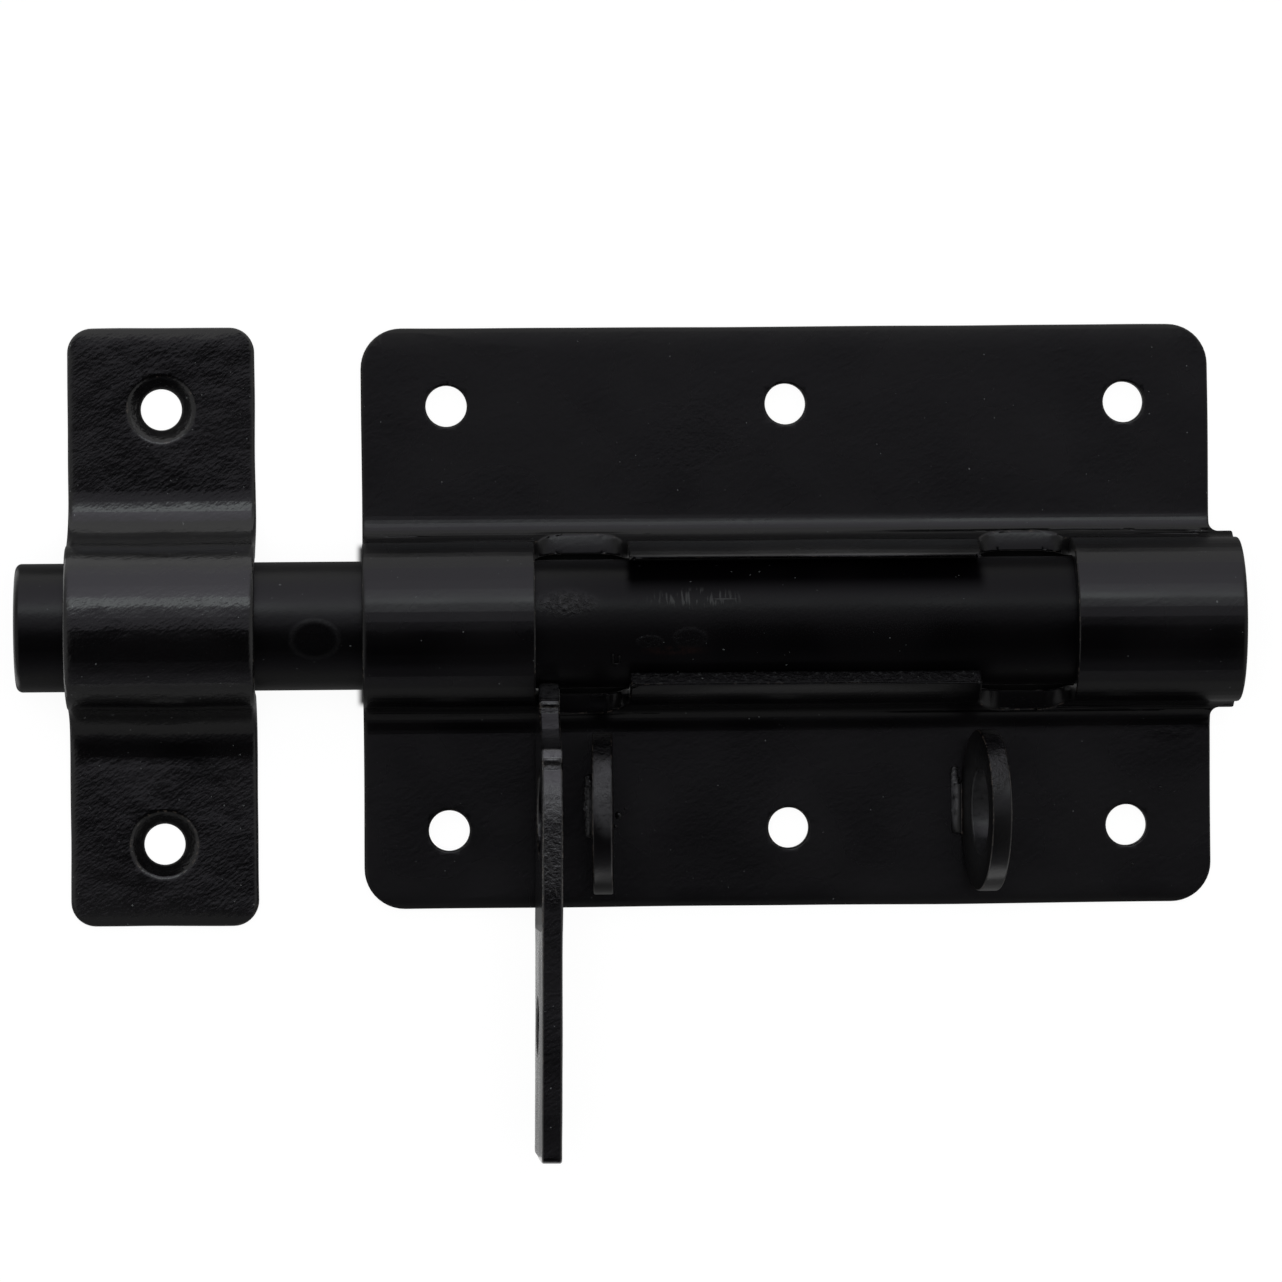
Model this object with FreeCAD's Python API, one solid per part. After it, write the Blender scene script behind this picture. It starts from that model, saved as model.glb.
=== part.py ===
import FreeCAD, Part
import math
import os

# Padbolt: a round steel bolt that slides in two hoops of one pressed back plate.
# A flat handle welded to the bolt drops between two padlock eyes, and a pressed
# keeper on the door frame takes the bolt's tip.
#
# Frame: millimetres. The origin is the centre of the back plate's outline, on the
# door's surface. +X runs along the bolt away from its tip, +Y is up on the door
# and +Z points out of the door.

# Pressed sheet
sheet = 2.4
screw_hole_d = 5.8

# Back plate
plate_length = 120.0
plate_height = 82.0
plate_corner_r = 5.7
plate_bend_r = 3.8
plate_hole_from_end = 12.0
plate_hole_from_side = 11.0

# Round bolt
bolt_d = 18.0
bolt_past_keeper = 7.0
bolt_tail_inset = 5.2
bolt_tip_round = 0.9
bolt_tail_chamfer = 0.6
bolt_y = -0.9
door_clearance = 0.25
bolt_clearance = 0.2

# Hoops and the openings between them, as widths along the plate
left_hoop_width = 24.05
right_hoop_width = 23.65
gap_width = 13.2
right_hoop_overhang = 3.25
overhang_margin = 0.9
overhang_fillet = 1.2
gap_floor_z = 3.6
gap_corner_r = 3.6
slot_lower_angle = 47.0
slot_upper_inset = 0.1
slot_end_r = 0.7

# Padlock eyes: round plates that stand on the lower wing
eye_d = 22.6
eye_thickness = 2.8
eye_from_barrel = 3.6
eye_height = 22.7
eye_foot_width = 8.3
eye_hole_d = 12.0
eye_hole_z = 15.9
left_eye_from_slot = -3.4
left_eye_lean = -2.4
right_eye_from_slot = -0.6
right_eye_lean = 6.5
weld_r = 1.3
weld_inset = 0.6

# Handle: flat bar on edge, with its outline measured down from the bolt's axis
handle_from_hoop = 0.62
handle_thickness = 2.9
handle_depth = 19.0
handle_reach = 74.5
handle_cant = 0.6
handle_lean = 1.7
handle_seat_clearance = 0.15
handle_hole_d = 12.0
cord_hole_d = 8.0
cord_hole_drop = 56.2
cord_hole_from_back = 7.4
handle_tip_r = 0.9
weld_gap = 0.06
root_drop = 8.05
root_rise = 2.2
ridge_drop = 11.0
ridge_width = 0.9
ridge_height = 0.5
throat_drop = 17.3
throat_below_front = 3.05
throat_bow = -0.7
lip_drop = 18.5
lip_below_front = 2.05
notch_drop = 19.6
notch_below_front = 2.5
shoulder_bow = 0.5
crest_drop = 27.0

# Keeper
keeper_gap = 15.0
keeper_width = 26.4
keeper_height = 84.4
keeper_corner_r = 3.5
keeper_bend_r = 7.5
keeper_hole_from_end = 11.5
countersink_d = 9.4
countersink_angle = 90.0

# Worked out from the sizes above
bolt_r = bolt_d / 2
bolt_z = bolt_r + door_clearance
hoop_inner_r = bolt_r + bolt_clearance
hoop_outer_r = hoop_inner_r + sheet
above = bolt_z + hoop_outer_r + 5.0
plate_left = -plate_length / 2
plate_right = plate_length / 2
left_hoop_end = plate_left + left_hoop_width
left_gap_end = left_hoop_end + gap_width
right_hoop_end = plate_right + right_hoop_overhang
right_gap_end = right_hoop_end - right_hoop_width
right_gap_start = right_gap_end - gap_width
keeper_right = plate_left - keeper_gap
keeper_left = keeper_right - keeper_width
bolt_tip_x = keeper_left - bolt_past_keeper
bolt_tail_x = right_hoop_end - bolt_tail_inset
eye_y = bolt_y - hoop_outer_r - eye_from_barrel - eye_d / 2
left_eye_x = left_gap_end + left_eye_from_slot
right_eye_x = right_gap_start + right_eye_from_slot
slot_upper_reach = hoop_inner_r - slot_upper_inset
slot_lower_top = bolt_z + hoop_outer_r * math.cos(math.radians(slot_lower_angle))
slot_upper_top = bolt_z + math.sqrt(hoop_outer_r ** 2 - slot_upper_reach ** 2)
# The handle's left back edge comes down on the round corner of the left gap
handle_left_face = left_hoop_end + handle_from_hoop
handle_x = handle_left_face + handle_thickness / 2
seat_x = (handle_left_face - handle_depth / 2 * math.sin(math.radians(handle_lean))
          - hoop_outer_r * math.sin(math.radians(handle_cant)))
seat_offset = max(left_hoop_end + gap_corner_r - seat_x, 0.0)
seat_rise = gap_corner_r - math.sqrt(gap_corner_r ** 2 - seat_offset ** 2)
handle_back = gap_floor_z + seat_rise + handle_seat_clearance
handle_front = handle_back + handle_depth


def box_between(low, high):
    size = [b - a for a, b in zip(low, high)]
    return Part.makeBox(size[0], size[1], size[2], FreeCAD.Vector(*low))


def rounded_plate(centre_x, centre_y, length, height, corner_r, thick):
    """A flat sheet on the door's surface with four round corners."""
    low = (centre_x - length / 2, centre_y - height / 2, 0.0)
    high = (centre_x + length / 2, centre_y + height / 2, thick)
    sheet_box = box_between(low, high)
    uprights = [edge for edge in sheet_box.Edges
                if abs(edge.Vertexes[0].X - edge.Vertexes[1].X) < 1e-6
                and abs(edge.Vertexes[0].Y - edge.Vertexes[1].Y) < 1e-6]
    return sheet_box.makeFillet(corner_r, uprights)


def strap_side(sign, reach, radius, bend_r, floor_z):
    """One side of a strap's section, from the wing's end up to the round top.

    radius and bend_r belong to this face of the sheet, and floor_z is the height
    of its wing. It gives the section's edges and the point where the top starts.
    """
    bend_z = floor_z + bend_r
    rise = max(bend_z - bolt_z, 0.0)
    span = radius + bend_r
    bend_y = math.sqrt(span * span - rise * rise)
    turn = math.pi / 2 - math.asin(rise / span)

    def point(y, z):
        return FreeCAD.Vector(0, bolt_y + sign * y, z)

    wing_end = FreeCAD.Vector(0, reach, floor_z)
    bend_start = point(bend_y, floor_z)
    bend_middle = point(bend_y - bend_r * math.sin(turn / 2),
                        bend_z - bend_r * math.cos(turn / 2))
    bend_end = point(bend_y - bend_r * math.sin(turn), bend_z - bend_r * math.cos(turn))
    edges = [Part.LineSegment(wing_end, bend_start).toShape(),
             Part.Arc(bend_start, bend_middle, bend_end).toShape()]
    if bend_z < bolt_z - 1e-6:
        top_start = point(radius, bolt_z)
        edges.append(Part.LineSegment(bend_end, top_start).toShape())
    else:
        top_start = bend_end
    return edges, top_start


def strap_face_edges(low_y, high_y, radius, bend_r, floor_z):
    """One face of a strap's section, from the lower wing over the top to the upper."""
    lower, lower_top = strap_side(-1, low_y, radius, bend_r, floor_z)
    upper, upper_top = strap_side(1, high_y, radius, bend_r, floor_z)
    crown = FreeCAD.Vector(0, bolt_y, bolt_z + radius)
    return lower + [Part.Arc(lower_top, crown, upper_top).toShape()] + upper


def strap(start_x, end_x, low_y, high_y, bend_r):
    """Sheet pressed into two flat wings and a hoop, along X."""
    outer = strap_face_edges(low_y, high_y, hoop_outer_r, bend_r, sheet)
    inner = strap_face_edges(low_y, high_y, hoop_inner_r, bend_r + sheet, 0.0)
    ends = [Part.LineSegment(FreeCAD.Vector(0, y, 0), FreeCAD.Vector(0, y, sheet)).toShape()
            for y in (low_y, high_y)]
    section = Part.Face(Part.Wire(Part.__sortEdges__(outer + inner + ends)))
    solid = section.extrude(FreeCAD.Vector(end_x - start_x, 0, 0))
    solid.translate(FreeCAD.Vector(start_x, 0, 0))
    return solid


def gap_cutter(start_x, end_x):
    """Opening across the barrel where the handle drops, with round lower corners."""
    half = hoop_outer_r + plate_bend_r
    cutter = box_between((start_x, bolt_y - half, gap_floor_z), (end_x, bolt_y + half, above))
    lower = [edge for edge in cutter.Edges
             if all(abs(v.Z - gap_floor_z) < 1e-6 for v in edge.Vertexes)
             and abs(edge.Vertexes[0].X - edge.Vertexes[1].X) < 1e-6]
    return cutter.makeFillet(gap_corner_r, lower)


def slot_cutter():
    """Opening in the barrel's top between the gaps.

    Its lower side is cut square to the sheet, and its upper side straight down
    beside the bolt.
    """
    reach = 2 * hoop_outer_r
    angle = math.radians(slot_lower_angle)
    outline = [(0, 0), (slot_upper_reach, 0), (slot_upper_reach, reach),
               (-reach * math.sin(angle), reach * math.cos(angle))]
    corners = [FreeCAD.Vector(left_gap_end, bolt_y + y, bolt_z + z) for y, z in outline]
    face = Part.Face(Part.makePolygon(corners + corners[:1]))
    return face.extrude(FreeCAD.Vector(right_gap_start - left_gap_end, 0, 0))


def slot_wall_envelope(side, wall_top):
    """What one side wall of the slot may fill, with its two end corners rounded."""
    wall_reach = bolt_y + side * (hoop_outer_r + plate_bend_r)
    block = box_between((left_gap_end, min(bolt_y, wall_reach), -1.0),
                        (right_gap_start, max(bolt_y, wall_reach), wall_top))
    upper = [edge for edge in block.Edges
             if all(abs(v.Z - wall_top) < 1e-6 for v in edge.Vertexes)
             and abs(edge.Vertexes[0].X - edge.Vertexes[1].X) < 1e-6]
    return block.makeFillet(slot_end_r, upper)


def slot_trim():
    """The cut between the two gaps: the open top and the walls' round corners."""
    half = hoop_outer_r + plate_bend_r
    zone = box_between((left_gap_end, bolt_y - half, gap_floor_z),
                       (right_gap_start, bolt_y + half, above))
    envelopes = [slot_wall_envelope(-1, slot_lower_top), slot_wall_envelope(1, slot_upper_top)]
    return slot_cutter().fuse(zone.cut(envelopes))


def plate_outline():
    """The plate's outline as a tall block, with the right hoop's overhang."""
    wings = rounded_plate(0, 0, plate_length, plate_height, plate_corner_r, above)
    half = hoop_outer_r + overhang_margin
    tab = box_between((right_gap_end, bolt_y - half, 0.0), (right_hoop_end, bolt_y + half, above))
    block = wings.fuse(tab).removeSplitter()
    inner_corners = [edge for edge in block.Edges
                     if all(abs(v.X - plate_right) < 1e-6 for v in edge.Vertexes)
                     and abs(edge.Vertexes[0].Y - edge.Vertexes[1].Y) < 1e-6
                     and abs(abs(edge.Vertexes[0].Y - bolt_y) - half) < 1e-6]
    return block.makeFillet(overhang_fillet, inner_corners)


def screw_hole(x, y):
    return Part.makeCylinder(screw_hole_d / 2, sheet + 2.0, FreeCAD.Vector(x, y, -1.0))


def back_plate():
    """One pressed sheet: two wings, two hoops and the low walls of the slot."""
    plate = strap(plate_left, right_hoop_end, -plate_height / 2, plate_height / 2, plate_bend_r)
    plate = plate.common(plate_outline())
    plate = plate.cut([gap_cutter(left_hoop_end, left_gap_end),
                       gap_cutter(right_gap_start, right_gap_end),
                       slot_trim()])
    across = plate_length / 2 - plate_hole_from_end
    up = plate_height / 2 - plate_hole_from_side
    holes = [screw_hole(column * across, row * up) for column in (-1, 0, 1) for row in (-1, 1)]
    return plate.cut(holes)


def padlock_eye(x, lean):
    """Round plate with a shackle hole, on edge on the lower wing, with its weld."""
    eye_r = eye_d / 2
    centre_z = sheet + eye_height - eye_r
    along = FreeCAD.Vector(1, 0, 0)
    left_face = x - eye_thickness / 2
    disc = Part.makeCylinder(eye_r, eye_thickness, FreeCAD.Vector(left_face, eye_y, centre_z), along)
    foot = box_between((left_face, eye_y - eye_foot_width / 2, 0.0),
                       (left_face + eye_thickness, eye_y + eye_foot_width / 2, sheet + eye_r / 4))
    hole = Part.makeCylinder(eye_hole_d / 2, 3 * eye_thickness,
                             FreeCAD.Vector(left_face - eye_thickness, eye_y, eye_hole_z), along)
    bead_length = eye_foot_width - 2 * weld_inset
    bead = Part.makeCylinder(weld_r, bead_length,
                             FreeCAD.Vector(left_face, eye_y - bead_length / 2, sheet),
                             FreeCAD.Vector(0, 1, 0))
    eye = disc.fuse([foot, bead]).cut(hole)
    eye.rotate(FreeCAD.Vector(x, eye_y, sheet), FreeCAD.Vector(0, 1, 0), lean)
    over_wing = box_between((x - eye_d, eye_y - eye_d, sheet),
                            (x + eye_d, eye_y + eye_d, sheet + 2 * eye_d))
    return eye.common(over_wing).removeSplitter()


def bolt_rod():
    """Solid round bar with a rounded rim at the tip and a chamfer at the tail."""
    along = FreeCAD.Vector(1, 0, 0)
    rod = Part.makeCylinder(bolt_r, bolt_tail_x - bolt_tip_x,
                            FreeCAD.Vector(bolt_tip_x, bolt_y, bolt_z), along)

    def rim(x):
        return [edge for edge in rod.Edges
                if edge.Closed and abs(edge.CenterOfMass.x - x) < 1e-6]

    rod = rod.makeFillet(bolt_tip_round, rim(bolt_tip_x))
    return rod.makeChamfer(bolt_tail_chamfer, rim(bolt_tail_x))


def bowed_arc(start, end, bow):
    """An arc that leaves its chord by bow at its middle, outwards if positive."""
    chord = end - start
    outwards = FreeCAD.Vector(0, chord.z, -chord.y).normalize()
    return Part.Arc(start, (start + end) / 2 + outwards * bow, end)


def handle_outline():
    """Side outline of the handle: down is -Y, out of the door is +Z.

    The front edge leaves the bolt, passes a small ridge, sweeps out through a
    throat, steps back at a notch and rounds over a shoulder to the straight bar.
    """
    root_z = bolt_z + math.sqrt(bolt_r ** 2 - root_drop ** 2)
    ridge_z = root_z + root_rise

    def at(drop, z):
        return FreeCAD.Vector(handle_left_face, bolt_y - drop, z)

    inside_front = at(root_drop / 2, root_z)
    root = at(root_drop, root_z)
    ridge_start = at(ridge_drop - ridge_width / 2, ridge_z)
    ridge_end = at(ridge_drop + ridge_width / 2, ridge_z)
    throat = at(throat_drop, handle_front - throat_below_front)
    lip = at(lip_drop, handle_front - lip_below_front)
    notch = at(notch_drop, handle_front - notch_below_front)
    crest = at(crest_drop, handle_front)
    tip_front = at(handle_reach, handle_front)
    tip_back = at(handle_reach, handle_back)
    inside_back = at(root_drop / 2, handle_back)
    line = Part.LineSegment
    edges = [line(inside_front, root), line(root, ridge_start),
             bowed_arc(ridge_start, ridge_end, ridge_height),
             bowed_arc(ridge_end, throat, throat_bow), line(throat, lip), line(lip, notch),
             bowed_arc(notch, crest, shoulder_bow), line(crest, tip_front),
             line(tip_front, tip_back), line(tip_back, inside_back),
             line(inside_back, inside_front)]
    return Part.Face(Part.Wire([edge.toShape() for edge in edges]))


def handle():
    """Flat bar on edge with the padlock hole and a small cord hole."""
    bar = handle_outline().extrude(FreeCAD.Vector(handle_thickness, 0, 0))
    tip_edges = [edge for edge in bar.Edges
                 if all(abs(v.Y - bolt_y + handle_reach) < 1e-3 for v in edge.Vertexes)
                 and abs(edge.Vertexes[0].X - edge.Vertexes[1].X) > 1e-3]
    bar = bar.makeFillet(handle_tip_r, tip_edges)
    along = FreeCAD.Vector(1, 0, 0)

    def hole(diameter, drop, from_back):
        start = FreeCAD.Vector(handle_left_face - 1.0, bolt_y - drop, handle_back + from_back)
        return Part.makeCylinder(diameter / 2, handle_thickness + 2.0, start, along)

    bar = bar.cut([hole(handle_hole_d, bolt_y - eye_y, handle_depth / 2),
                   hole(cord_hole_d, cord_hole_drop, cord_hole_from_back)])
    middle = FreeCAD.Vector(handle_x, bolt_y, (handle_back + handle_front) / 2)
    bar.rotate(middle, FreeCAD.Vector(0, 1, 0), handle_lean)
    bar.rotate(middle, FreeCAD.Vector(0, 0, 1), -handle_cant)
    saddle = Part.makeCylinder(bolt_r + weld_gap, 4 * bolt_r,
                               FreeCAD.Vector(handle_x - 2 * bolt_r, bolt_y, bolt_z), along)
    return bar.cut(saddle)


def countersunk_hole(x, y):
    head_r = countersink_d / 2
    depth = (head_r - screw_hole_d / 2) / math.tan(math.radians(countersink_angle / 2))
    cone = Part.makeCone(screw_hole_d / 2, head_r, depth, FreeCAD.Vector(x, y, sheet - depth))
    return screw_hole(x, y).fuse(cone)


def keeper():
    """Pressed strap with one hoop and a countersunk hole in each wing."""
    half = keeper_height / 2
    centre_x = (keeper_left + keeper_right) / 2
    band = strap(keeper_left, keeper_right, bolt_y - half, bolt_y + half, keeper_bend_r)
    outline = rounded_plate(centre_x, bolt_y, keeper_width, keeper_height, keeper_corner_r, above)
    holes = [countersunk_hole(centre_x, bolt_y + row * (half - keeper_hole_from_end))
             for row in (-1, 1)]
    return band.common(outline).cut(holes)


def main():
    nodes = {
        "back_plate": back_plate(),
        "left_padlock_eye": padlock_eye(left_eye_x, left_eye_lean),
        "right_padlock_eye": padlock_eye(right_eye_x, right_eye_lean),
        "bolt_rod": bolt_rod(),
        "handle": handle(),
        "keeper": keeper(),
    }
    os.makedirs("parts", exist_ok=True)
    for name, shape in nodes.items():
        box = shape.BoundBox
        print(name, "solids", len(shape.Solids), "valid", shape.isValid(),
              "volume %.1f" % shape.Volume,
              "x %.2f %.2f y %.2f %.2f z %.2f %.2f"
              % (box.XMin, box.XMax, box.YMin, box.YMax, box.ZMin, box.ZMax))
        shape.exportStep("parts/" + name + ".step")


main()
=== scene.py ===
import math
import random

import bmesh
import bpy
from mathutils import Matrix, Vector, noise


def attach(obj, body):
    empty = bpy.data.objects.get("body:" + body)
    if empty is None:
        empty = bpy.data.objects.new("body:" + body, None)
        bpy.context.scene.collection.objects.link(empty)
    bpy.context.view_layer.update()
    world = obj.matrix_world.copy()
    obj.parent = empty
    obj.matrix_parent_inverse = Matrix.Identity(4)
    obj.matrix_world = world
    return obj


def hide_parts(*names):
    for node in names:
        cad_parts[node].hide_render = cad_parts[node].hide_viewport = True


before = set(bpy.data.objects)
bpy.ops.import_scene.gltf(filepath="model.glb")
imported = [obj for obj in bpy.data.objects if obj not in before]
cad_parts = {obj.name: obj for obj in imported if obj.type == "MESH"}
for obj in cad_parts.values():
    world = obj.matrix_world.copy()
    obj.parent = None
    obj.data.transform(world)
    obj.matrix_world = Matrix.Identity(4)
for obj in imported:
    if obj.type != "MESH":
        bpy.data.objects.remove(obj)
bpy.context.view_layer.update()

mm = 0.001
mergeReach = 0.002 * mm  # corners closer than this become one
print("frame loaded")

# Camera: nearly straight in front of the plate, a little to its left
view = {
    "place": (-54.83, 1.0, 930.0),
    "aim": (-20.7, -3.4, 2.4),
    "roll": -0.45,
    "lens": 184.3,
    "sensor": 36.0,
    "clipStart": 0.01,
}


def makeCamera():
    place = Vector(view["place"]) * mm
    backwards = (place - Vector(view["aim"]) * mm).normalized()
    sideways = Vector((0, 1, 0)).cross(backwards).normalized()
    upwards = backwards.cross(sideways)
    turn = Matrix((sideways, upwards, backwards)).transposed()
    turn = turn @ Matrix.Rotation(math.radians(view["roll"]), 3, "Z")
    camera = bpy.data.cameras.new("camera")
    camera.lens = view["lens"]
    camera.sensor_width = view["sensor"]
    camera.clip_start = view["clipStart"]
    holder = bpy.data.objects.new("camera", camera)
    holder.matrix_world = Matrix.Translation(place) @ turn.to_4x4()
    bpy.context.scene.collection.objects.link(holder)
    bpy.context.scene.camera = holder


makeCamera()
print("camera placed")


# Meshes: a coated piece starts from the merged copy of its node
def mergedCopy(nodeName):
    bm = bmesh.new()
    bm.from_mesh(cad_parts[nodeName].data)
    bmesh.ops.remove_doubles(bm, verts=bm.verts, dist=mergeReach)
    bmesh.ops.dissolve_limit(bm, angle_limit=math.radians(0.6), verts=bm.verts, edges=bm.edges)
    bm.verts.layers.float.new("edgeWear")
    return bm


def sharpEdges(bm, angle=35.0):
    return [edge for edge in bm.edges
            if edge.is_manifold and edge.calc_face_angle(0.0) > math.radians(angle)]


def roundEdges(bm, edges, width):
    made = bmesh.ops.bevel(bm, geom=edges, offset=width * mm, offset_type="OFFSET", segments=3,
                           profile=0.5, affect="EDGES", material=-1, clamp_overlap=False,
                           loop_slide=True)
    wear = bm.verts.layers.float["edgeWear"]
    ridge = set(made["faces"])
    for vert in {vert for face in ridge for vert in face.verts}:
        if all(face in ridge for face in vert.link_faces):
            vert[wear] = 1.0
    bmesh.ops.remove_doubles(bm, verts=bm.verts, dist=mergeReach)


def cutAt(bm, axis, places):
    direction = Vector((0, 0, 0))
    direction[axis] = 1.0
    for place in places:
        bmesh.ops.bisect_plane(bm, geom=bm.verts[:] + bm.edges[:] + bm.faces[:], dist=1e-8,
                               plane_co=direction * place * mm, plane_no=direction)


def cutAcross(bm, axis, step):
    # strips fine enough for the sheet's waves to show
    places = [vert.co[axis] / mm for vert in bm.verts]
    low, high = min(places), max(places)
    cutAt(bm, axis, [low + count * step for count in range(1, int((high - low) / step))])


def wave(bm, size, depth, seed):
    bm.normal_update()
    shift = Vector((seed, 2.3 * seed, 0.7 * seed))
    moves = [vert.normal * (noise.noise(vert.co / (size * mm) + shift) * depth * mm)
             for vert in bm.verts]
    for vert, move in zip(bm.verts, moves):
        vert.co += move


def dropEdges(bm, shape):
    # the sheet's front rolls off a little towards its sheared sides
    low, high, width = shape["low"], shape["high"], shape["rollWidth"]
    for vert in bm.verts:
        inside = min(vert.co.x / mm - low[0], high[0] - vert.co.x / mm,
                     vert.co.y / mm - low[1], high[1] - vert.co.y / mm)
        if inside < width and vert.co.z > shape["rollAbove"] * mm:
            vert.co.z -= shape["rollDepth"] * mm * (1.0 - max(inside, 0.0) / width) ** 2


def cutSheet(bm, shape):
    # a grid of cuts across the sheet, and one beside each of its sides
    for axis in (0, 1):
        cutAcross(bm, axis, shape["gridStep"])
    for axis in (0, 1):
        cutAt(bm, axis, [shape["low"][axis] + shape["sideCut"],
                         shape["high"][axis] - shape["sideCut"]])


def makePiece(bm, name, body, material, replaced=None):
    mesh = bpy.data.meshes.new(name)
    bm.to_mesh(mesh)
    bm.free()
    mesh.polygons.foreach_set("use_smooth", [True] * len(mesh.polygons))
    mesh.materials.append(material)
    piece = bpy.data.objects.new(name, mesh)
    bpy.context.scene.collection.objects.link(piece)
    if replaced:
        normals = piece.modifiers.new("flatFaces", "WEIGHTED_NORMAL")
        normals.weight = 80
        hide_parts(replaced)
        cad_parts[replaced].data.materials.clear()
        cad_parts[replaced].data.materials.append(material)
    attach(piece, body)
    return piece


def makeBlobs(name, blobs, body, material, voxel, rough, seed):
    # drops of weld metal that run into each other, as (centre, reach) pairs in millimetres
    bm = bmesh.new()
    for centre, reach in blobs:
        shape = Matrix.Translation(Vector(centre) * mm) @ Matrix.Diagonal(
            (reach[0] * mm, reach[1] * mm, reach[2] * mm, 1.0))
        bmesh.ops.create_icosphere(bm, subdivisions=3, radius=1.0, matrix=shape)
    wave(bm, rough[0], rough[1], seed)
    piece = makePiece(bm, name, body, material)
    skin = piece.modifiers.new("oneSkin", "REMESH")
    skin.mode = "VOXEL"
    skin.voxel_size = voxel * mm
    skin.use_smooth_shade = True


# Materials: small helpers that add nodes and give back the socket to link
def addNode(tree, kind, inputs=None, **settings):
    made = tree.nodes.new("ShaderNode" + kind)
    for key, value in settings.items():
        setattr(made, key, value)
    for key, value in (inputs or {}).items():
        if isinstance(value, bpy.types.NodeSocket):
            tree.links.new(value, made.inputs[key])
        else:
            made.inputs[key].default_value = value
    return made


def moved(tree, place, size, turn=0.0, shift=(0, 0, 0)):
    return addNode(tree, "Mapping", {"Vector": place, "Location": [part * mm for part in shift],
                                     "Rotation": (0, 0, math.radians(turn)),
                                     "Scale": [part * mm for part in size]},
                   vector_type="TEXTURE").outputs[0]


def noiseAt(tree, place, size, detail=3.0, roughness=0.5, stretch=(1, 1, 1), turn=0.0,
            shift=(0, 0, 0)):
    spot = moved(tree, place, [size * part for part in stretch], turn, shift)
    return addNode(tree, "TexNoise", {"Vector": spot, "Scale": 1.0, "Detail": detail,
                                      "Roughness": roughness}).outputs[0]


def between(tree, value, low, high, start=0.0, end=1.0):
    return addNode(tree, "MapRange", {"Value": value, "From Min": low, "From Max": high,
                                      "To Min": start, "To Max": end},
                   interpolation_type="SMOOTHSTEP").outputs[0]


def combine(tree, how, first, second):
    return addNode(tree, "Math", {0: first, 1: second}, operation=how).outputs[0]


def times(tree, first, *others):
    for other in others:
        first = combine(tree, "MULTIPLY", first, other)
    return first


def plus(tree, first, *others):
    for other in others:
        first = combine(tree, "ADD", first, other)
    return first


def blendColour(tree, share, under, over):
    mix = addNode(tree, "Mix", {"Factor": share, 6: under, 7: over}, data_type="RGBA")
    return mix.outputs[2]


def blendValue(tree, share, under, over):
    return addNode(tree, "Mix", {0: share, 2: under, 3: over}, data_type="FLOAT").outputs[0]


def zone(tree, place, centre, reach, soft=0.5, turn=0.0):
    # 1 inside an ellipsoid on the piece, 0 outside it, in millimetres
    spot = moved(tree, place, reach, turn, centre)
    length = addNode(tree, "VectorMath", {0: spot}, operation="LENGTH").outputs["Value"]
    return between(tree, length, 1.0, 1.0 - soft)


def rgba(colour):
    return (colour[0], colour[1], colour[2], 1.0)


def coatMaterial(name, look, extra=None):
    material = bpy.data.materials.new(name)
    material.use_nodes = True
    tree = material.node_tree
    tree.nodes.clear()
    place = addNode(tree, "TexCoord").outputs["Object"]
    broad = noiseAt(tree, place, look["broadSize"], 1.0, 0.6)
    rough = noiseAt(tree, place, look["roughSize"], 3.0, 0.65, shift=(1, 5, 2))
    coat = {
        "colour": blendColour(tree, between(tree, broad, 0.35, 0.65), rgba(look["dark"]),
                              rgba(look["light"])),
        "roughness": between(tree, broad, 0.3, 0.7, look["roughness"] - look["roughnessShift"],
                             look["roughness"] + look["roughnessShift"]),
        "specular": look["specular"],
    }
    # heights of waves, orange peel and grain, in millimetres
    waves = noiseAt(tree, place, look["waveSize"], 0.0, shift=(2, 7, 4))
    peel = noiseAt(tree, place, look["peelSize"], 1.0, 0.6, stretch=(1.5, 0.8, 1.0), turn=35.0,
                   shift=(9, 2, 6))
    grain = noiseAt(tree, place, look["grainSize"], 0.0, shift=(3, 1, 8))
    coat["height"] = plus(tree, times(tree, waves, look["waveDepth"]),
                          times(tree, peel, look["peelDepth"]),
                          times(tree, grain, look["grainDepth"]))
    # thin or worn coat along the rounded edges, and specks of dust in it
    wear = addNode(tree, "Attribute", attribute_name="edgeWear").outputs["Fac"]
    rubbed = between(tree, times(tree, wear, rough), look["wearFrom"], look["wearFrom"] + 0.1)
    coat["colour"] = blendColour(tree, rubbed, coat["colour"], rgba(look["wearColour"]))
    dust = noiseAt(tree, place, look["speckSize"], 0.0, shift=(6, 6, 1))
    speck = between(tree, dust, look["speckFrom"], look["speckFrom"] + 0.03)
    coat["colour"] = blendColour(tree, speck, coat["colour"], rgba(look["speckColour"]))
    if extra:
        extra(tree, place, rough, coat)
    normal = addNode(tree, "Bump", {"Height": coat["height"], "Distance": mm}).outputs[0]
    shader = addNode(tree, "BsdfPrincipled", {
        "Base Color": coat["colour"], "Roughness": coat["roughness"], "Normal": normal, "IOR": 1.5,
        "Specular IOR Level": coat["specular"], "Coat Weight": look["coat"],
        "Coat Roughness": look["coatRoughness"], "Coat Normal": normal})
    output = addNode(tree, "OutputMaterial")
    tree.links.new(shader.outputs[0], output.inputs[0])
    return material


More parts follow.
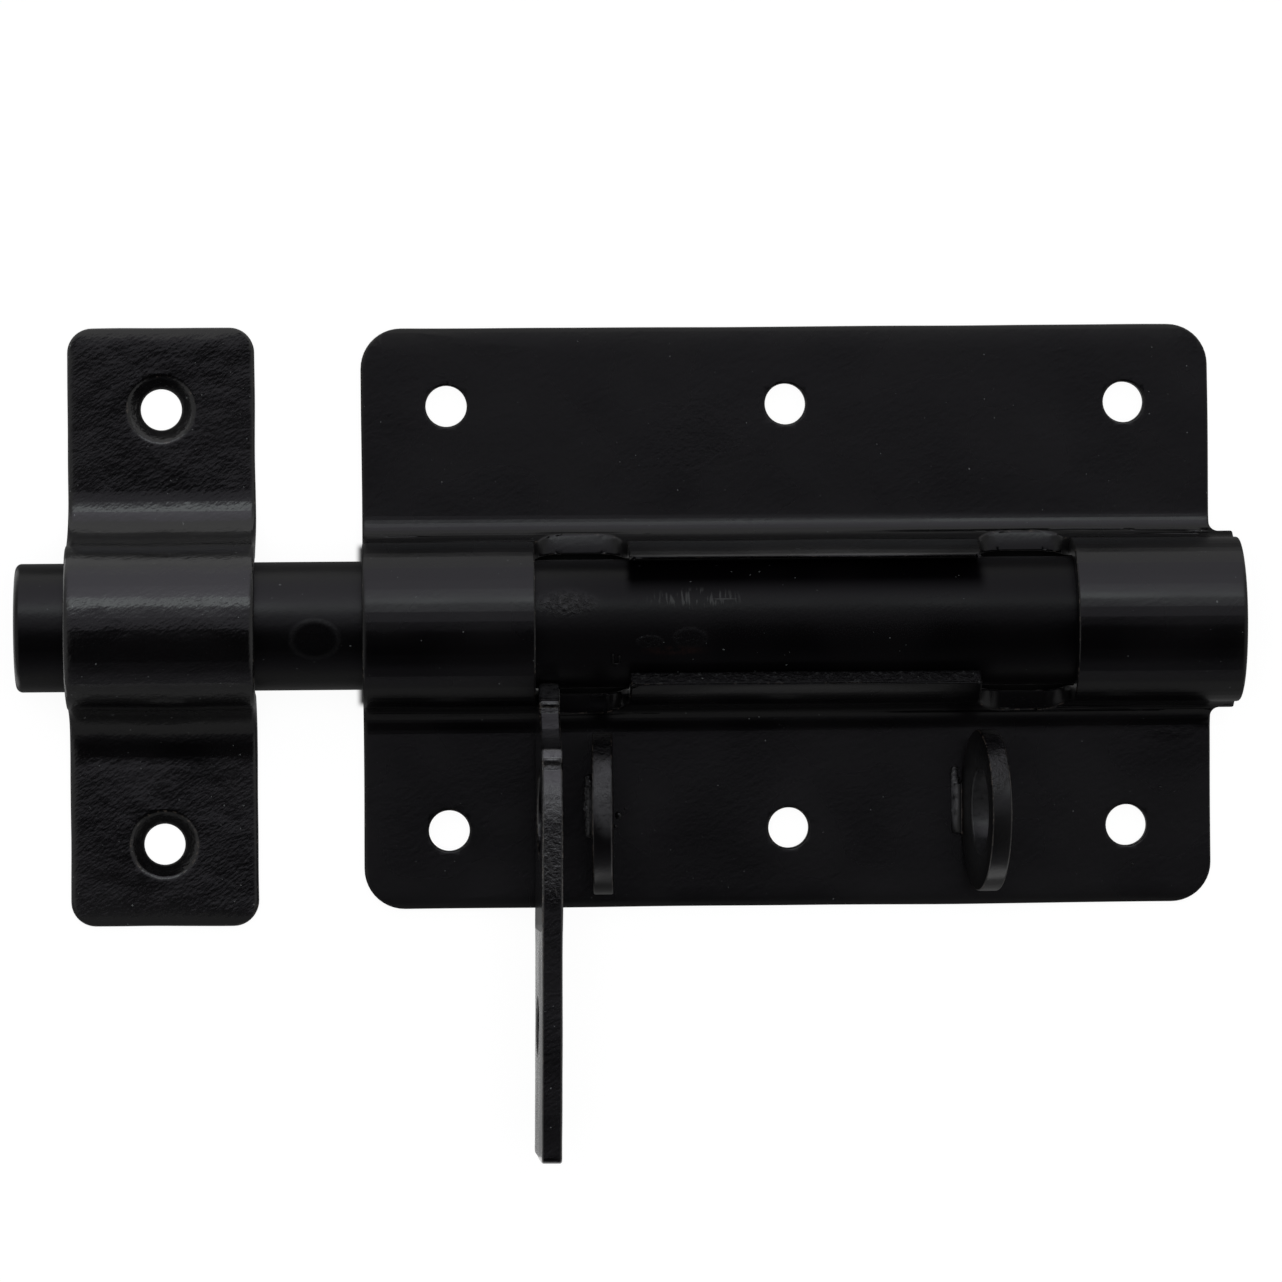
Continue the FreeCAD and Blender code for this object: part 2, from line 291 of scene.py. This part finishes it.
# Back plate: satin powder coat with a fine grain
plateLook = {
    "dark": (0.0007, 0.0006, 0.0008), "light": (0.0015, 0.0013, 0.0016),
    "roughness": 0.27, "roughnessShift": 0.03, "specular": 0.5, "coat": 0.0, "coatRoughness": 0.2,
    "broadSize": 16.0, "roughSize": 0.8, "waveSize": 7.0, "waveDepth": 0.05,
    "peelSize": 0.8, "peelDepth": 0.014, "grainSize": 0.3, "grainDepth": 0.003,
    "wearFrom": 0.54, "wearColour": (0.030, 0.024, 0.020),
    "speckSize": 0.45, "speckFrom": 0.865, "speckColour": (0.060, 0.064, 0.064),
    "patch": ((-12.2, 25.7, 2.4), (11.0, 9.5, 4.0), 0.030),
    "grainyBend": ((54.0, -16.6, 3.2), (6.0, 1.8, 2.0), 0.06),
    "shearDepth": 0.30, "shearColour": (0.012, 0.0125, 0.013), "shearSpecular": 0.22,
    "walls": [((1.8, 9.9, 13.0), (26.5, 3.2, 9.0)), ((1.8, -11.7, 12.0), (26.5, 3.2, 9.0))],
    "wallSpecular": 1.0,
}
plateShape = {
    "edgeRound": 0.3, "gridStep": 1.5, "sideCut": 0.7,
    "waveSize": 16.0, "waveDepth": 0.10, "seed": 3.1,
    "low": (-60.0, -41.0), "high": (63.25, 41.0),
    "rollWidth": 1.6, "rollDepth": 0.14, "rollAbove": 1.2,
    "slotFrom": -22.9, "slotTo": 26.55, "boltY": -0.9, "boltZ": 9.25,
    "gaps": [(-35.95, -22.75), (26.4, 39.6)], "gapFloor": 3.6, "gapTop": 7.6,
    "lipRise": 0.7, "lipFade": 2.5, "lipAcross": (9.0, 13.2), "lipHeights": (3.3, 7.0),
    "lipWidth": 4.0, "lipTop": 3.0,
    "outerRadius": 11.6, "innerRadius": 9.2, "lowerCutAngle": 47.0,
}


def plateDetails(tree, place, rough, coat):
    look = plateLook
    # sheared face of the slot's lower wall
    sheared = addNode(tree, "Attribute", attribute_name="shearedFace").outputs["Fac"]
    coat["roughness"] = blendValue(tree, times(tree, sheared, 0.8), coat["roughness"], 0.5)
    coat["colour"] = blendColour(tree, times(tree, sheared, between(tree, rough, 0.56, 0.68)),
                                 coat["colour"], rgba(look["shearColour"]))
    share = times(tree, sheared, look["shearDepth"])
    # thicker, brighter coat on the outside of the slot's walls
    for wall in look["walls"]:
        coat["specular"] = blendValue(tree, zone(tree, place, *wall, 0.3), coat["specular"],
                                      look["wallSpecular"])
    coat["specular"] = blendValue(tree, sheared, coat["specular"], look["shearSpecular"])
    # an uneven patch of coat on the upper wing, and grains on the lower bend near its right end
    for name in ("patch", "grainyBend"):
        centre, reach, depth = look[name]
        share = plus(tree, share, times(tree, zone(tree, place, centre, reach, 0.8), depth))
    coat["height"] = plus(tree, coat["height"], times(tree, share, rough))


def softenLips(bm):
    # the bend runs on into the gaps' floors in one soft curve
    shape = plateShape
    for vert in bm.verts:
        x, across, z = vert.co.x / mm, abs(vert.co.y / mm - shape["boltY"]), vert.co.z / mm
        ends = max(min(x - start, end - x) for start, end in shape["gaps"]) / shape["lipFade"]
        inner, outer = shape["lipAcross"]
        lowest, highest = shape["lipHeights"]
        if ends > 0 and inner < across < outer and lowest < z < highest:
            share = 1.0 - (max(across - shape["innerRadius"], 0.0) / shape["lipWidth"]) ** 2
            rise = 1.0 - (z - shape["gapFloor"]) / shape["lipTop"]
            share *= min(ends, 1.0) * min(max(rise, 0.0), 1.0)
            vert.co.z += shape["lipRise"] * share * mm


def trimSpikes(bm):
    # the rounding leaves thin spikes at the slot's corners; they go back to the gap's nearer end
    for vert in bm.verts:
        for start, end in plateShape["gaps"]:
            if start < vert.co.x / mm < end and vert.co.z / mm > plateShape["gapTop"]:
                near = start if vert.co.x / mm - start < end - vert.co.x / mm else end
                vert.co.x = near * mm


def besideBolt(edge):
    # the gaps' floors end sharp beside the bolt
    middle = (edge.verts[0].co + edge.verts[1].co) / (2 * mm)
    close = abs(abs(middle.y - plateShape["boltY"]) - plateShape["innerRadius"]) < 0.15
    return close and middle.z < plateShape["gapTop"]


def markSheared(bm):
    shape = plateShape
    layer = bm.verts.layers.float.new("shearedFace")
    angle = math.radians(shape["lowerCutAngle"])
    for vert in bm.verts:
        y = vert.co.y / mm - shape["boltY"]
        z = vert.co.z / mm - shape["boltZ"]
        along = -y * math.sin(angle) + z * math.cos(angle)
        aside = y * math.cos(angle) + z * math.sin(angle)
        inSlot = shape["slotFrom"] < vert.co.x / mm < shape["slotTo"]
        inSheet = shape["innerRadius"] - 0.1 < along < shape["outerRadius"] + 0.1
        if inSlot and inSheet and abs(aside) < 0.08:
            vert[layer] = 1.0


def makePlate():
    shape = plateShape
    bm = mergedCopy("back_plate")
    beside = [edge for edge in sharpEdges(bm) if besideBolt(edge)]
    roundEdges(bm, [edge for edge in sharpEdges(bm) if edge not in beside], shape["edgeRound"])
    trimSpikes(bm)
    cutSheet(bm, shape)
    reaches = [10.0 + 0.6 * count for count in range(7)]
    cutAt(bm, 1, [shape["boltY"] + side * reach for side in (-1, 1) for reach in reaches])
    softenLips(bm)
    markSheared(bm)
    wave(bm, shape["waveSize"], shape["waveDepth"], shape["seed"])
    dropEdges(bm, shape)
    makePiece(bm, "coated_back_plate", "plate", coatMaterial("plateCoat", plateLook, plateDetails),
              "back_plate")
    print("back plate made")


makePlate()

# Keeper: the same coat, thicker and glossier, with a coarse orange peel
keeperLook = dict(plateLook, **{
    "roughness": 0.26, "coat": 0.6, "coatRoughness": 0.15, "specular": 0.48,
    "waveSize": 2.6, "waveDepth": 0.07, "peelSize": 0.62, "peelDepth": 0.040, "grainDepth": 0.006,
    "speckFrom": 0.835, "wingTilt": 0.028, "wingFrom": 15.0,
})
keeperShape = {
    "edgeRound": 0.4, "gridStep": 1.5, "sideCut": 0.8,
    "waveSize": 9.0, "waveDepth": 0.12, "seed": 7.4,
    "low": (-101.4, -43.1), "high": (-75.0, 41.3),
    "rollWidth": 2.4, "rollDepth": 0.30, "rollAbove": 1.2,
}


def keeperDetails(tree, place, rough, coat):
    # the upper wing leans back a little
    y = addNode(tree, "SeparateXYZ", {0: place}).outputs[1]
    wing = combine(tree, "MAXIMUM", combine(tree, "SUBTRACT", y, keeperLook["wingFrom"] * mm), 0.0)
    coat["height"] = plus(tree, coat["height"], times(tree, wing, keeperLook["wingTilt"] / mm))


def makeKeeper():
    shape = keeperShape
    bm = mergedCopy("keeper")
    roundEdges(bm, sharpEdges(bm), shape["edgeRound"])
    cutSheet(bm, shape)
    wave(bm, shape["waveSize"], shape["waveDepth"], shape["seed"])
    dropEdges(bm, shape)
    makePiece(bm, "coated_keeper", "plate", coatMaterial("keeperCoat", keeperLook, keeperDetails),
              "keeper")
    print("keeper made")


makeKeeper()

# Bolt: a duller coat, rubbed and scratched where it slides in the hoops
boltLook = dict(plateLook, **{
    "roughness": 0.34, "roughnessShift": 0.04, "waveSize": 6.0, "waveDepth": 0.03,
    "peelDepth": 0.018, "grainDepth": 0.006, "leftSpecular": 0.40, "rightSpecular": 0.18,
    "scratchColour": (0.024, 0.025, 0.0247), "rustColour": (0.005, 0.0026, 0.0024),
    "dashes": [((-13.5, 2.6, 17.5), (8.0, 1.8, 2.5))],
    "glossy": ((-31.5, 2.2, 18.0), (5.5, 2.8, 3.0)), "glossyRoughness": 0.24,
    "glossySpecular": 0.5, "dullSpecular": 0.08, "dullRoughness": 0.7, "specularFrom": (-62, -20),
    "glossyDepth": 0.20, "dullDepth": 0.25,
    "shadeAcross": (2.6, 5.4), "shadeAlong": ((-23.7, -22.2), (27.6, 25.9)), "shadeSpecular": 0.02,
    "line": ((-9.6, 2.45, 18.0), (2.0, 0.12, 3.0)),
    "scuffs": [((-14.4, -2.9, 18.0), (2.8, 1.6, 2.5)), ((-20.1, -3.4, 18.0), (2.2, 1.0, 2.5))],
    "rust": ((-16.6, -4.7, 17.3), (6.0, 0.9, 2.0)),
    "dullPatch": ((-66.6, -2.8, 18.0), (3.9, 3.1, 3.0)),
})
boltShape = {"edgeRound": 0.3, "drip": (-24.7, -6.3, 16.6)}


def boltDetails(tree, place, rough, coat):
    look = boltLook
    x, y = addNode(tree, "SeparateXYZ", {0: place}).outputs[:2]
    coat["specular"] = between(tree, x, *[part * mm for part in look["specularFrom"]],
                               look["leftSpecular"], look["rightSpecular"])
    # short scratches across the bolt, and one along it
    streaks = noiseAt(tree, place, 0.3, 0.0, stretch=(1, 5, 5), shift=(1, 0, 0))
    dash = between(tree, streaks, 0.55, 0.72)
    marks = zone(tree, place, *look["line"], 0.5)
    for centre, reach in look["dashes"]:
        marks = plus(tree, marks, times(tree, zone(tree, place, centre, reach, 0.6), dash))
    # dark scuffs with light flecks in them
    fleck = between(tree, rough, 0.66, 0.72)
    dull = zone(tree, place, *look["dullPatch"], 0.35)
    for centre, reach in look["scuffs"]:
        inside = zone(tree, place, centre, reach, 0.5)
        dull = plus(tree, dull, times(tree, inside, between(tree, rough, 0.40, 0.50)))
        marks = plus(tree, marks, times(tree, inside, fleck))
    stain = times(tree, zone(tree, place, *look["rust"], 0.7), between(tree, rough, 0.35, 0.6))
    coat["colour"] = blendColour(tree, stain, coat["colour"], rgba(look["rustColour"]))
    coat["colour"] = blendColour(tree, marks, coat["colour"], rgba(look["scratchColour"]))
    glossy = times(tree, zone(tree, place, *look["glossy"], 0.9), between(tree, rough, 0.30, 0.62))
    coat["specular"] = blendValue(tree, glossy, coat["specular"], look["glossySpecular"])
    coat["specular"] = blendValue(tree, dull, coat["specular"], look["dullSpecular"])
    # painted shade: the gloss is turned down beside the slot's upper wall, where the wall shades
    # the bolt
    shade = between(tree, y, *[part * mm for part in look["shadeAcross"]])
    for limits in look["shadeAlong"]:
        shade = times(tree, shade, between(tree, x, *[part * mm for part in limits]))
    coat["specular"] = blendValue(tree, shade, coat["specular"], look["shadeSpecular"])
    coat["roughness"] = blendValue(tree, glossy, coat["roughness"], look["glossyRoughness"])
    coat["roughness"] = blendValue(tree, dull, coat["roughness"], look["dullRoughness"])
    coat["height"] = plus(tree, coat["height"], times(tree, dull, rough, look["dullDepth"]),
                          times(tree, glossy, rough, look["glossyDepth"]))


def makeBolt():
    bm = mergedCopy("bolt_rod")
    roundEdges(bm, sharpEdges(bm), boltShape["edgeRound"])
    boltCoat = coatMaterial("boltCoat", boltLook, boltDetails)
    makePiece(bm, "coated_bolt_rod", "bolt", boltCoat, "bolt_rod")
    x, y, z = boltShape["drip"]
    # the drip is a small U: two rows of drops and one wide drop below them
    drops = [((x + aside, y + step * 0.25, z + step * 0.18), (0.22, 0.3, 0.25))
             for aside, steps in ((-0.45, 5), (0.45, 4)) for step in range(steps)]
    drops.append(((x, y - 0.25, z - 0.15), (0.5, 0.28, 0.25)))
    makeBlobs("bolt_weld_drip", drops, "bolt", boltCoat, 0.09, (0.8, 0.05), 2.0)
    print("bolt made")


makeBolt()

# Handle: flat bar on edge, welded to the bolt
handleLook = dict(plateLook, **{
    "roughness": 0.25, "wearFrom": 0.48, "peelDepth": 0.020, "coat": 0.8, "coatRoughness": 0.2,
    "torn": [((-34.0, -20.3, 25.0), (3.0, 0.9, 6.0)), ((-34.0, -12.6, 17.0), (3.0, 0.8, 6.0)),
             ((-34.0, -30.0, 26.0), (3.0, 11.0, 5.0))],
    "tornDepth": 0.25,
    # painted highlights: a lighter colour on the handle's root, lip and crest
    "paintedHighlights": [((-34.0, -10.3, 15.0), (3.0, 1.6, 8.0), 0.012),
             ((-34.0, -18.9, 24.0), (3.0, 1.0, 8.0), 0.050),
             ((-34.0, -16.6, 23.0), (3.0, 2.2, 8.0), 0.010),
             ((-34.0, -24.0, 25.0), (3.0, 4.5, 8.0), 0.020)],
    # painted shade: the gloss is turned down here
    "paintedShade": [((-34.0, -13.6, 18.0), (3.0, 1.7, 8.0))],
})
handleShape = {"edgeRound": 0.35, "sharpFrom": 25.0, "gridStep": 1.5,
               "waveSize": 8.0, "waveDepth": 0.10, "seed": 1.7}


def tornAndPaintedLight(tree, place, rough, coat, look):
    # places where the press tore the sheet; painted highlights, a lighter colour laid into given
    # zones; and painted shade, where the gloss is turned down
    for centre, reach in look["torn"]:
        torn = times(tree, zone(tree, place, centre, reach, 0.4), rough, look["tornDepth"])
        coat["height"] = plus(tree, coat["height"], torn)
    # painted highlights: a lighter colour in each zone, mottled by the rough noise
    for centre, reach, level in look["paintedHighlights"]:
        share = times(tree, zone(tree, place, centre, reach, 0.5), between(tree, rough, 0.2, 0.6))
        highlightColour = rgba((level, level, 1.06 * level))
        coat["colour"] = blendColour(tree, share, coat["colour"], highlightColour)
    # painted shade: the gloss is turned down in each zone
    for centre, reach in look["paintedShade"]:
        dull = zone(tree, place, centre, reach, 0.5)
        coat["specular"] = blendValue(tree, dull, coat["specular"], 0.15)


def handleDetails(tree, place, rough, coat):
    tornAndPaintedLight(tree, place, rough, coat, handleLook)


def makeHandle():
    shape = handleShape
    bm = mergedCopy("handle")
    roundEdges(bm, sharpEdges(bm, shape["sharpFrom"]), shape["edgeRound"])
    for axis in (1, 2):
        cutAcross(bm, axis, shape["gridStep"])
    wave(bm, shape["waveSize"], shape["waveDepth"], shape["seed"])
    makePiece(bm, "coated_handle", "handle", coatMaterial("handleCoat", handleLook, handleDetails),
              "handle")
    print("handle made")


makeHandle()

# Padlock eyes with their weld beads and spatter
eyeLook = dict(plateLook, **{
    "roughness": 0.29, "wearFrom": 0.48, "peelDepth": 0.016,
    "torn": [((-26.2, -20.0, 20.0), (4.0, 9.0, 9.0)), ((26.5, -19.5, 21.0), (4.0, 8.0, 8.0))],
    "tornDepth": 0.30,
    # painted highlights: a lighter colour on the eyes' edges and faces and on the weld beads
    "paintedHighlights": [((-26.2, -24.5, 24.5), (3.0, 7.0, 6.0), 0.022),
             ((26.0, -27.4, 14.0), (3.0, 11.3, 11.3), 0.014),
             ((-28.5, -26.8, 3.3), (0.7, 5.5, 1.6), 0.040),
             ((23.5, -26.0, 3.3), (0.7, 5.5, 1.6), 0.050)],
    # painted shade: the gloss is turned down on parts of the eyes' upper and lower edges
    "paintedShade": [((-26.2, -37.0, 16.0), (4.0, 3.4, 9.0)), ((26.3, -18.0, 17.0), (4.0, 3.0, 9.0)),
              ((-26.2, -18.0, 19.0), (4.0, 2.4, 9.0))],
})
eyeShape = {"edgeRound": 0.3, "beadVoxel": 0.14}
beads = {
    "left": {"from": (-28.25, -22.6, 2.75), "to": (-28.25, -30.8, 2.75), "radius": 0.66},
    "right": {"from": (23.7, -21.8, 2.75), "to": (23.7, -30.0, 2.75), "radius": 0.62},
    "drops": 12,
}
spatter = [((-24.06, -28.05, 2.35), 0.55), ((-24.5, -29.6, 2.35), 0.28),
           ((-23.1, -27.1, 2.35), 0.2), ((29.6, -25.2, 2.35), 0.25),
           ((52.85, -24.7, 2.35), 0.25), ((48.78, -35.6, 2.35), 0.22)]


def eyeDetails(tree, place, rough, coat):
    tornAndPaintedLight(tree, place, rough, coat, eyeLook)


def makeEye(side):
    bm = mergedCopy(side + "_padlock_eye")
    roundEdges(bm, sharpEdges(bm), eyeShape["edgeRound"])
    makePiece(bm, "coated_" + side + "_padlock_eye", "plate", eyeCoat,
              side + "_padlock_eye")
    bead = beads[side]
    start, end = Vector(bead["from"]), Vector(bead["to"])
    drops = []
    for count in range(beads["drops"]):
        centre = start.lerp(end, count / (beads["drops"] - 1))
        centre.x += chance.uniform(-0.2, 0.2)
        size = bead["radius"] * chance.uniform(0.8, 1.1)
        drops.append((tuple(centre), (size * 1.1, size * 0.8, size)))
    makeBlobs(side + "_eye_weld_bead", drops, "plate", eyeCoat, eyeShape["beadVoxel"],
              (0.9, 0.12), 4.0)


chance = random.Random(11)
eyeCoat = coatMaterial("eyeCoat", eyeLook, eyeDetails)
for side in ("left", "right"):
    makeEye(side)
makeBlobs("weld_spatter", [(centre, (size, size, size * 0.7)) for centre, size in spatter], "plate",
          eyeCoat, 0.08, (0.5, 0.04), 6.0)
print("padlock eyes made")

# Stage: a floor that is white to the camera, and a room that is dark towards -Y and bright towards
# +Y, given as (angle from straight up towards +Y, level)
stage = {
    "floorReach": 3.0, "floorColour": (0.92, 0.92, 0.92), "floorWhite": 0.9,
    # painted shade under the barrel: the paper there is painted dark
    "underBarrel": ((-60.0, -11.6), (63.0, 9.8)), "underSoft": 1.2,
    "underShadeColour": (0.01, 0.01, 0.01), "whiteStrength": 1.04,
    "roomTurns": [(-90, 0.14), (-70, 0.09), (-60, 0.05), (-50, 0.02), (-44, 0.0), (-9, 0.0),
                  (-2.3, 0.02), (2.3, 0.30), (16, 0.31), (24, 0.38), (29.5, 0.5), (31, 2.1),
                  (37, 2.1), (39, 0.95), (50, 0.85), (60, 0.72), (75, 0.66), (90, 0.60)],
    "roomSide": 0.35, "sideFrom": 0.25, "sideTo": 0.55, "stripFrom": 1.5,
    "flags": [((0, 42.5, 8.6), (520, 0.1, 17), 0.60), ((0, -43.6, 8.6), (520, 0.1, 17), 0.17),
              ((-15, -0.9, 0.05), (200, 86, 0.1), 0.12), ((-48, -60, 0.05), (22, 33, 0.1), 0.25)],
    "roomTint": (1.0, 0.975, 1.09), "stripTint": (0.95, 1.02, 1.02),
    "fillHeight": 1.45, "fillSize": 1.0, "fillPower": 12.0,
}


def whiteShare(tree):
    path = addNode(tree, "LightPath")
    seen = combine(tree, "MAXIMUM", path.outputs["Is Camera Ray"], path.outputs["Is Glossy Ray"])
    return combine(tree, "MAXIMUM", seen, path.outputs["Is Transmission Ray"])


def makeFloor():
    bm = bmesh.new()
    bmesh.ops.create_grid(bm, x_segments=2, y_segments=2, size=stage["floorReach"])
    mesh = bpy.data.meshes.new("floor")
    bm.to_mesh(mesh)
    bm.free()
    material = bpy.data.materials.new("floorPaper")
    material.use_nodes = True
    tree = material.node_tree
    tree.nodes.clear()
    white = addNode(tree, "Emission", {"Color": (1, 1, 1, 1),
                                       "Strength": stage["whiteStrength"]})
    # painted shade: the paper is painted dark under the plate's barrel, so that no white shows
    # through the gaps
    spot = addNode(tree, "SeparateXYZ", {0: addNode(tree, "TexCoord").outputs["Object"]}).outputs
    soft = stage["underSoft"] * mm
    under = 1.0
    for axis, (low, high) in enumerate(zip(*stage["underBarrel"])):
        under = times(tree, under, between(tree, spot[axis], low * mm - soft, low * mm),
                      between(tree, spot[axis], high * mm + soft, high * mm))
    shade = blendColour(tree, under, rgba(stage["floorColour"]), rgba(stage["underShadeColour"]))
    paper = addNode(tree, "BsdfDiffuse", {"Color": shade})
    share = times(tree, whiteShare(tree), stage["floorWhite"],
                  combine(tree, "SUBTRACT", 1.0, under))
    mix = addNode(tree, "MixShader", {0: share, 1: paper.outputs[0], 2: white.outputs[0]})
    output = addNode(tree, "OutputMaterial")
    tree.links.new(mix.outputs[0], output.inputs[0])
    mesh.materials.append(material)
    floor = bpy.data.objects.new("floor", mesh)
    bpy.context.scene.collection.objects.link(floor)


def makeRoom():
    world = bpy.data.worlds.new("room")
    world.use_nodes = True
    tree = world.node_tree
    towards = addNode(tree, "SeparateXYZ", {0: addNode(tree, "TexCoord").outputs["Generated"]})
    x, y, z = towards.outputs
    turn = plus(tree, times(tree, combine(tree, "ARCTAN2", y, z), 1.0 / math.pi), 0.5)
    ramp = addNode(tree, "ValToRGB", {0: turn})
    stops = ramp.color_ramp.elements
    for angle, level in stage["roomTurns"][1:-1]:
        stops.new((angle + 90.0) / 180.0)
    for stop, (angle, level) in zip(stops, stage["roomTurns"]):
        tint = stage["stripTint"] if level > stage["stripFrom"] else stage["roomTint"]
        stop.color = rgba([level * part for part in tint])
    side = between(tree, combine(tree, "ABSOLUTE", x, 0.0), stage["sideFrom"], stage["sideTo"])
    shade = blendColour(tree, side, ramp.outputs[0], rgba((stage["roomSide"],) * 3))
    # white to the camera alone; the black coat's gloss shows the room above
    seen = addNode(tree, "LightPath").outputs["Is Camera Ray"]
    shade = blendColour(tree, seen, shade, (1, 1, 1, 1))
    tree.links.new(shade, tree.nodes["Background"].inputs["Color"])
    bpy.context.scene.world = world


def makeFlag(name, centre, size, strength):
    # a card beside the object, which only shows in its gloss
    bm = bmesh.new()
    bmesh.ops.create_cube(bm, size=1.0)
    bmesh.ops.scale(bm, vec=[length * mm for length in size], verts=bm.verts)
    bmesh.ops.translate(bm, vec=[part * mm for part in centre], verts=bm.verts)
    mesh = bpy.data.meshes.new(name)
    bm.to_mesh(mesh)
    bm.free()
    material = bpy.data.materials.new(name + "Paint")
    material.use_nodes = True
    tree = material.node_tree
    tree.nodes.clear()
    glow = addNode(tree, "Emission", {"Color": (1, 1, 1, 1), "Strength": strength})
    output = addNode(tree, "OutputMaterial")
    tree.links.new(glow.outputs[0], output.inputs[0])
    mesh.materials.append(material)
    flag = bpy.data.objects.new(name, mesh)
    flag.visible_camera = False
    flag.visible_diffuse = False
    flag.visible_shadow = False
    flag.visible_transmission = False
    bpy.context.scene.collection.objects.link(flag)


def makeLamp():
    lamp = bpy.data.lights.new("fill", "AREA")
    lamp.size = stage["fillSize"]
    lamp.energy = stage["fillPower"]
    holder = bpy.data.objects.new("fill", lamp)
    holder.location = (0, 0, stage["fillHeight"])
    holder.visible_glossy = False
    bpy.context.scene.collection.objects.link(holder)


makeFloor()
makeRoom()
for count, flag in enumerate(stage["flags"]):
    makeFlag("flag" + str(count + 1), *flag)
makeLamp()
print("stage and lights made")

bpy.context.scene.view_settings.view_transform = "Standard"
